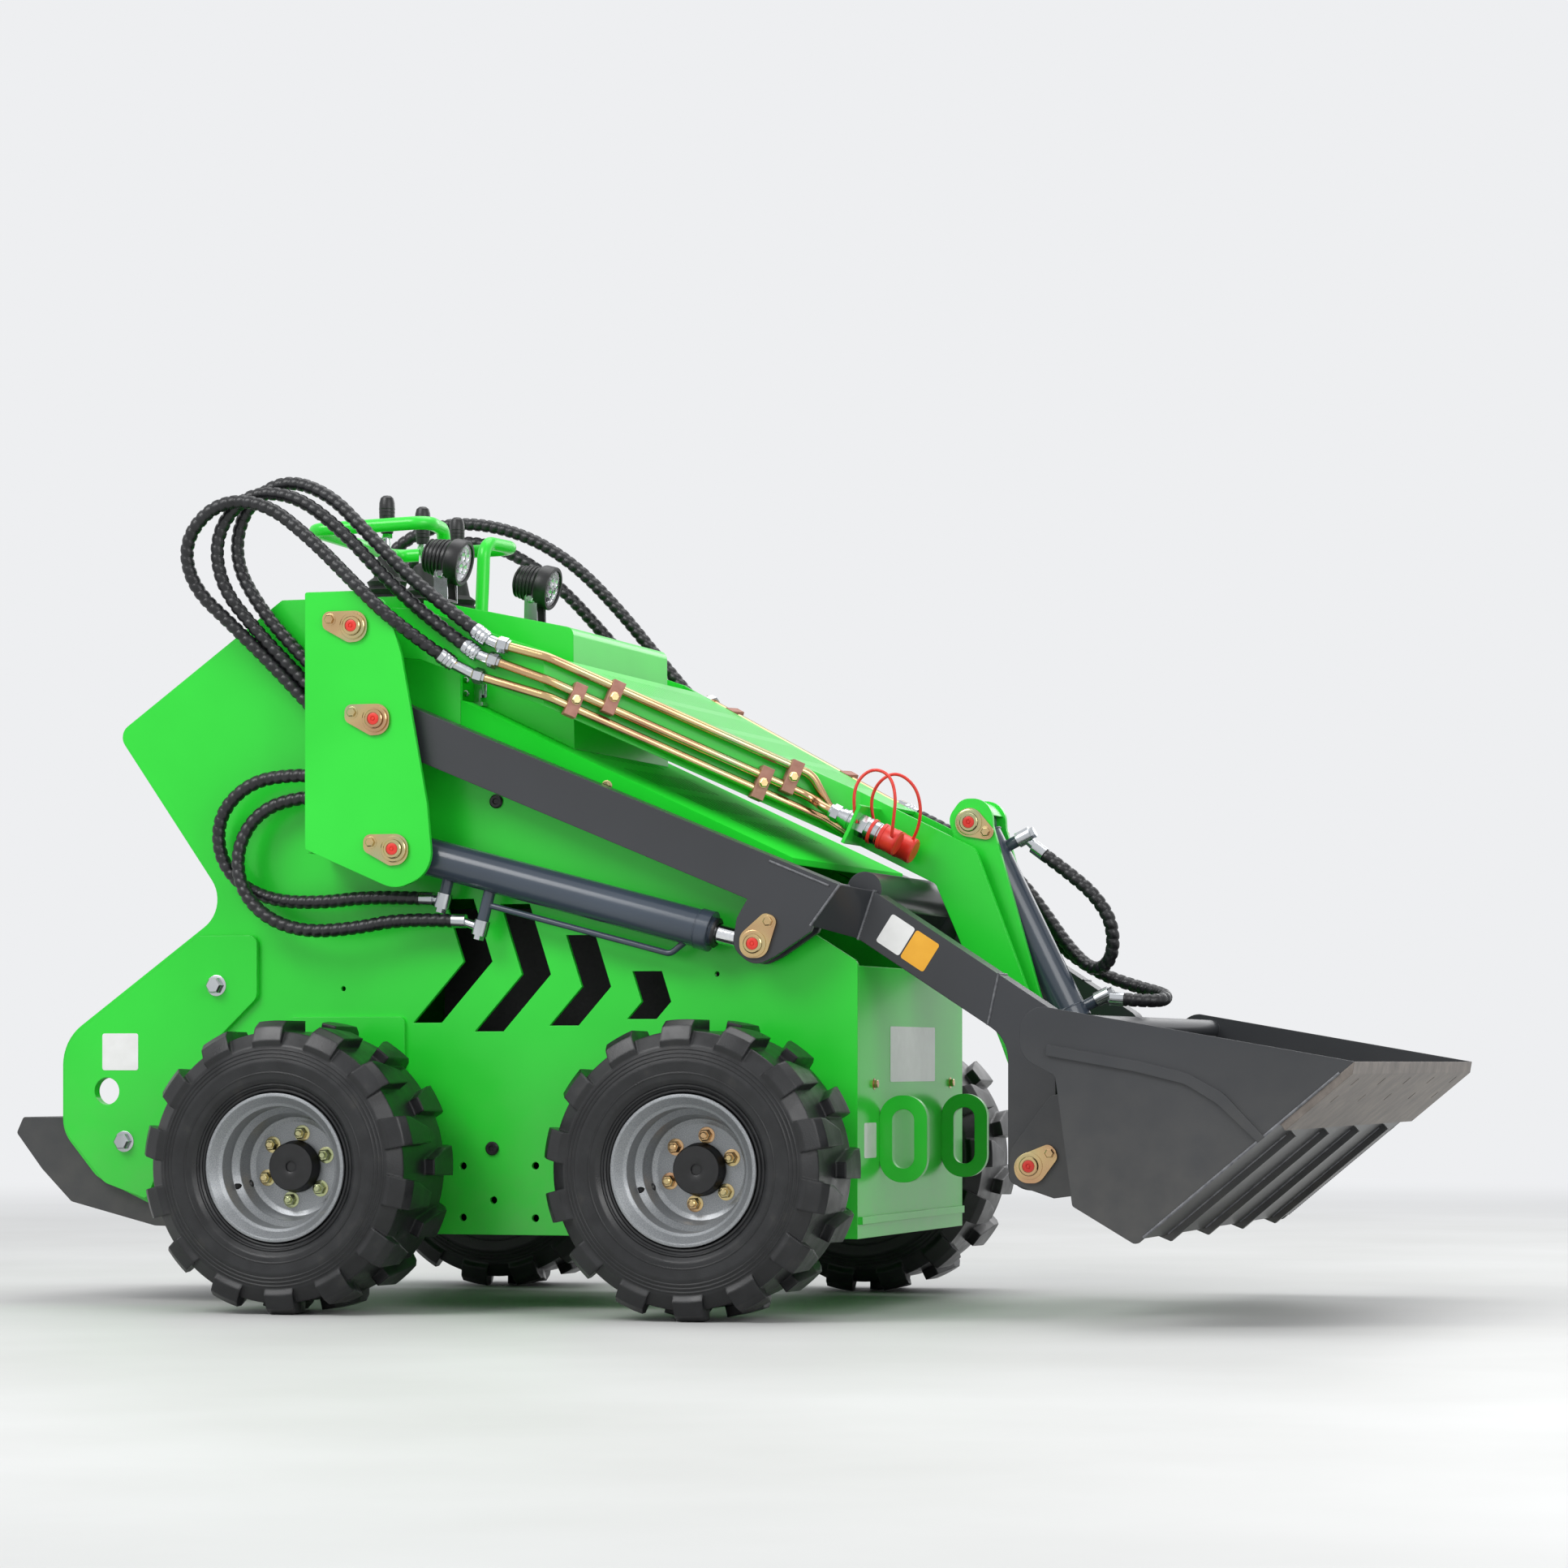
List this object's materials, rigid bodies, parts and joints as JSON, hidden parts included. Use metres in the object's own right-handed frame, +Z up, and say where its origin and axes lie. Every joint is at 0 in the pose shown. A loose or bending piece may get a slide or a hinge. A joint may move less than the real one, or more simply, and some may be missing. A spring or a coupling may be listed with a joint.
{
  "type": "mini skid steer loader",
  "caption": "Stand-on wheeled mini skid steer loader with parallel lift linkage, tilt cylinder and a general-purpose bucket.",
  "frame": {"origin": "on the ground, under the middle of the machine's overall box", "axes": "+X forwards to the bucket, +Y to the machine's left, +Z up"},
  "size_m": [2.265, 1.156, 1.3437],
  "materials": {
    "green_paint": "gloss",
    "charcoal_paint": "satin",
    "cylinder_paint": "gloss",
    "chrome_rod": "polished",
    "zinc_steel": "satin",
    "silver_paint": "satin",
    "tyre_rubber": "matte",
    "hose_rubber": "satin",
    "red_rubber": "satin",
    "black_plastic": "matte",
    "brown_plastic": "matte",
    "cast_metal": "rough"
  },
  "bodies": {
    "chassis": {"side_plates": "green_paint", "rear_plates": "green_paint", "front_and_belly": "green_paint", "stand_platform": "charcoal_paint", "console": "green_paint", "hood": "green_paint", "towers": "green_paint", "tower_pins": "zinc_steel", "tie_down_loops": "green_paint", "engine_block": "cast_metal", "wheel_motors": "cast_metal", "handrail": "green_paint", "control_levers": "black_plastic", "work_lamps": "black_plastic", "hose_inlets": "zinc_steel", "hose_upper_low": "hose_rubber", "hose_upper_mid": "hose_rubber", "hose_upper_top": "hose_rubber", "hose_far_top": "hose_rubber", "hose_far_mid": "hose_rubber", "hose_lift_out_right": "hose_rubber", "hose_lift_in_right": "hose_rubber", "hose_lift_out_left": "hose_rubber", "hose_lift_in_left": "hose_rubber"},
    "lift_arm": {"lift_arms": "charcoal_paint", "arm_pins": "zinc_steel"},
    "upper_link": {"upper_link": "green_paint", "link_front_pin": "zinc_steel", "link_pipes": "zinc_steel", "pipe_clamps": "brown_plastic", "quick_couplers": "zinc_steel", "coupler_caps": "red_rubber"},
    "front_carriage": {"front_carriage": "green_paint", "tilt_top_pin": "zinc_steel", "hose_tilt_upper": "hose_rubber", "hose_tilt_lower": "hose_rubber"},
    "bucket": {"quick_attach": "charcoal_paint", "attach_pins": "zinc_steel", "bucket_shell": "charcoal_paint", "cutting_edge": "charcoal_paint"},
    "lift_barrel_right": {"lift_barrel_right": "cylinder_paint", "lift_fittings_right": "zinc_steel"},
    "lift_rod_right": {"lift_rod_right": "chrome_rod"},
    "lift_barrel_left": {"lift_barrel_left": "cylinder_paint", "lift_fittings_left": "zinc_steel"},
    "lift_rod_left": {"lift_rod_left": "chrome_rod"},
    "tilt_barrel": {"tilt_barrel": "cylinder_paint", "tilt_fittings": "zinc_steel"},
    "tilt_rod": {"tilt_rod": "chrome_rod"},
    "wheel_front_right": {"tyre_front_right": "tyre_rubber", "wheel_front_right": "silver_paint"},
    "wheel_front_left": {"tyre_front_left": "tyre_rubber", "wheel_front_left": "silver_paint"},
    "wheel_rear_right": {"tyre_rear_right": "tyre_rubber", "wheel_rear_right": "silver_paint"},
    "wheel_rear_left": {"tyre_rear_left": "tyre_rubber", "wheel_rear_left": "silver_paint"}
  },
  "joints": [
    {"name": "wheel_front_right_turn", "type": "hinge", "parent": "chassis", "child": "wheel_front_right", "pos_m": [0.116, -0.472, 0.2285], "axis": [0, 1, 0], "continuous": true},
    {"name": "wheel_front_left_turn", "type": "hinge", "parent": "chassis", "child": "wheel_front_left", "pos_m": [0.116, 0.472, 0.2285], "axis": [0, 1, 0], "continuous": true},
    {"name": "wheel_rear_right_turn", "type": "hinge", "parent": "chassis", "child": "wheel_rear_right", "pos_m": [-0.553, -0.472, 0.2285], "axis": [0, 1, 0], "continuous": true},
    {"name": "wheel_rear_left_turn", "type": "hinge", "parent": "chassis", "child": "wheel_rear_left", "pos_m": [-0.553, 0.472, 0.2285], "axis": [0, 1, 0], "continuous": true},
    {"name": "lift", "type": "hinge", "parent": "chassis", "child": "lift_arm", "pos_m": [-0.452, 0, 0.934], "axis": [0, -1, 0], "range_deg": [0, 75]},
    {"name": "link_swing", "type": "hinge", "parent": "chassis", "child": "upper_link", "pos_m": [-0.49, 0, 1.082], "axis": [0, -1, 0], "range_deg": [0, 75], "deforming": ["hose_upper_low", "hose_upper_mid", "hose_upper_top", "hose_far_top", "hose_far_mid"]},
    {"name": "carriage_level", "type": "hinge", "parent": "lift_arm", "child": "front_carriage", "pos_m": [0.59, 0, 0.233], "axis": [0, -1, 0], "range_deg": [-75, 0], "deforming": ["hose_tilt_upper", "hose_tilt_lower"]},
    {"name": "tilt", "type": "hinge", "parent": "front_carriage", "child": "bucket", "pos_m": [0.59, 0, 0.233], "axis": [0, 1, 0], "range_deg": [0, 80]},
    {"name": "tilt_barrel_swing", "type": "hinge", "parent": "front_carriage", "child": "tilt_barrel", "pos_m": [0.423, 0, 0.775], "axis": [0, 1, 0], "range_deg": [-6, 0]},
    {"name": "lift_barrel_right_swing", "type": "hinge", "parent": "chassis", "child": "lift_barrel_right", "pos_m": [-0.42, -0.35, 0.728], "axis": [0, -1, 0], "range_deg": [0, 71], "deforming": ["hose_lift_out_right", "hose_lift_in_right"]},
    {"name": "lift_rod_right_slide", "type": "slide", "parent": "lift_barrel_right", "child": "lift_rod_right", "axis": [0.9677, 0, -0.2522], "range_m": [0, 0.2489]},
    {"name": "lift_barrel_left_swing", "type": "hinge", "parent": "chassis", "child": "lift_barrel_left", "pos_m": [-0.42, 0.35, 0.728], "axis": [0, -1, 0], "range_deg": [0, 71], "deforming": ["hose_lift_out_left", "hose_lift_in_left"]},
    {"name": "lift_rod_left_slide", "type": "slide", "parent": "lift_barrel_left", "child": "lift_rod_left", "axis": [0.9677, 0, -0.2522], "range_m": [0, 0.2489]},
    {"name": "tilt_rod_slide", "type": "slide", "parent": "tilt_barrel", "child": "tilt_rod", "axis": [0.4443, 0, -0.8959], "range_m": [0, 0.2102]}
  ],
  "couplings": [
    {"joint": "link_swing", "follows": "lift", "ratio": 1},
    {"joint": "carriage_level", "follows": "lift", "ratio": -1},
    {"joint": "lift_barrel_right_swing", "follows": "lift", "ratio": 0.94486},
    {"joint": "lift_rod_right_slide", "follows": "lift", "m_per_rad": 0.18979},
    {"joint": "lift_barrel_left_swing", "follows": "lift", "ratio": 0.94486},
    {"joint": "lift_rod_left_slide", "follows": "lift", "m_per_rad": 0.18979},
    {"joint": "tilt_barrel_swing", "follows": "tilt", "ratio": -0.07266},
    {"joint": "tilt_rod_slide", "follows": "tilt", "m_per_rad": 0.1502}
  ]
}
